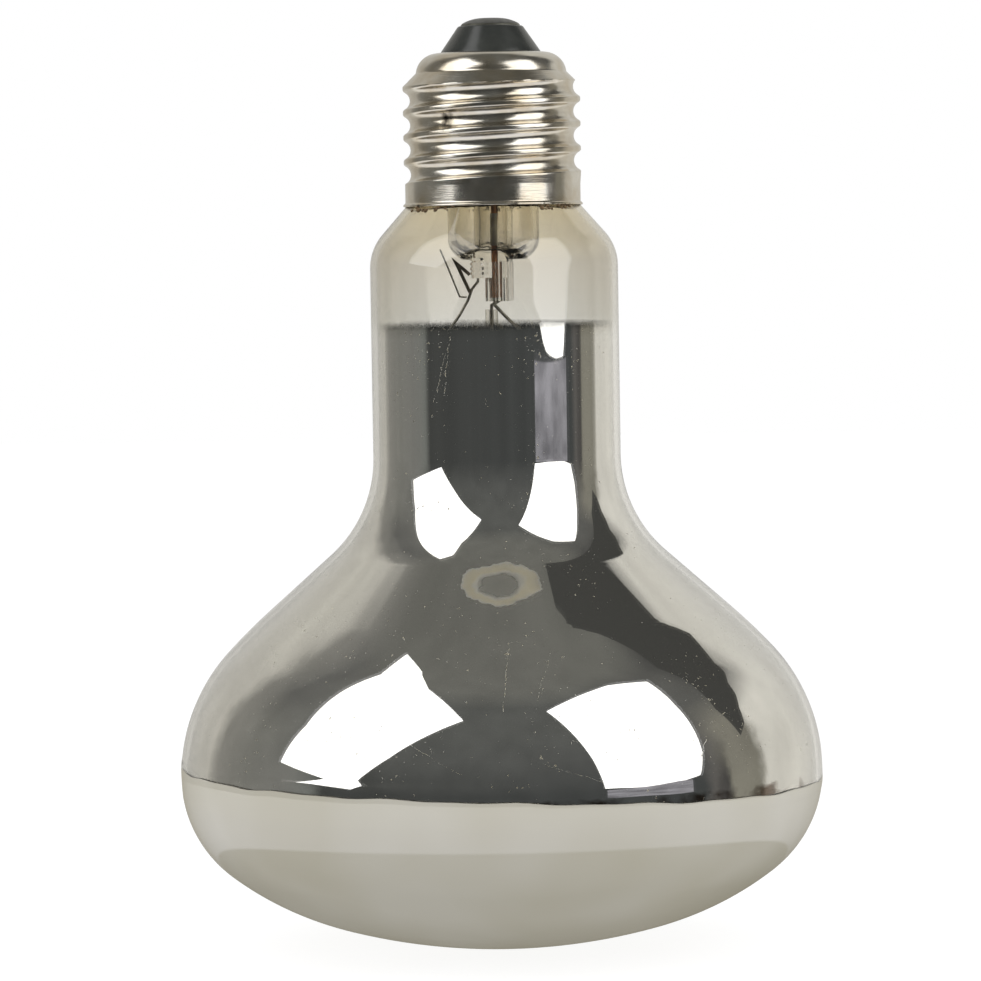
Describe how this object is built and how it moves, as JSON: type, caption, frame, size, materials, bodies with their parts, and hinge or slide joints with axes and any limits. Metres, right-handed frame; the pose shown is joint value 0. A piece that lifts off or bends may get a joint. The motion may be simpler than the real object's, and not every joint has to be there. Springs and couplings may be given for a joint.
{
  "type": "mercury vapour reptile bulb",
  "caption": "Self-ballasted mercury vapour reflector lamp: mushroom glass bulb with a satin face, mirrored bowl, clear neck, glass mount and a screw cap",
  "frame": {"origin": "on the lamp's axis, at the crown of the face, which is its lowest point when the lamp stands cap up", "axes": "+Z runs along the lamp's axis from the face to the centre contact; -Y is the side the picture shows; +X is to the right in it"},
  "size_m": [0.095, 0.095, 0.137],
  "materials": {
    "envelope_glass": "clear blown glass, satin frosted on the face",
    "reflector_film": "vapour-deposited mirror seen through glass",
    "nickel_plate": "bright nickel plate with a few dark scorch flecks",
    "black_glass": "glossy black glass",
    "brass": "plain sheet brass",
    "solder": "dull grey solder",
    "basing_cement": "matt baked cement",
    "stem_glass": "clear fire-polished lead glass",
    "copper": "copper skin, drawn",
    "nickel_wire": "drawn nickel",
    "getter_metal": "dark sintered getter",
    "quartz": "clear fused quartz",
    "molybdenum": "grey molybdenum",
    "tungsten": "dark grey tungsten",
    "resistor_ceramic": "matt ceramic body"
  },
  "bodies": {
    "root": {"glass_envelope": "envelope_glass", "reflector_film": "reflector_film", "screw_shell": "nickel_plate", "cap_insulator": "black_glass", "contact_plate": "brass", "centre_solder": "solder", "basing_cement": "basing_cement", "stem_glass": "stem_glass", "exhaust_tube": "stem_glass", "centre_lead": "copper", "side_lead": "copper", "lead_joint": "nickel_wire", "seal_wires": "copper", "sleeved_lead": "nickel_wire", "insulating_sleeve": "stem_glass", "filament_lead": "nickel_wire", "getter_wire": "nickel_wire", "getter_flag": "nickel_wire", "getter_bar": "getter_metal", "frame_rod": "nickel_wire", "arc_tube": "quartz", "seal_foils": "molybdenum", "upper_electrode": "tungsten", "lower_electrode": "tungsten", "starter_electrode": "tungsten", "arc_tube_leads": "molybdenum", "starter_lead": "nickel_wire", "starting_resistor": "resistor_ceramic", "resistor_lead": "nickel_wire", "upper_strap": "nickel_wire", "lower_strap": "nickel_wire", "filament": "tungsten", "bridge_lead": "nickel_wire", "support_beads": "stem_glass", "filament_hooks": "molybdenum"}
  },
  "joints": []
}
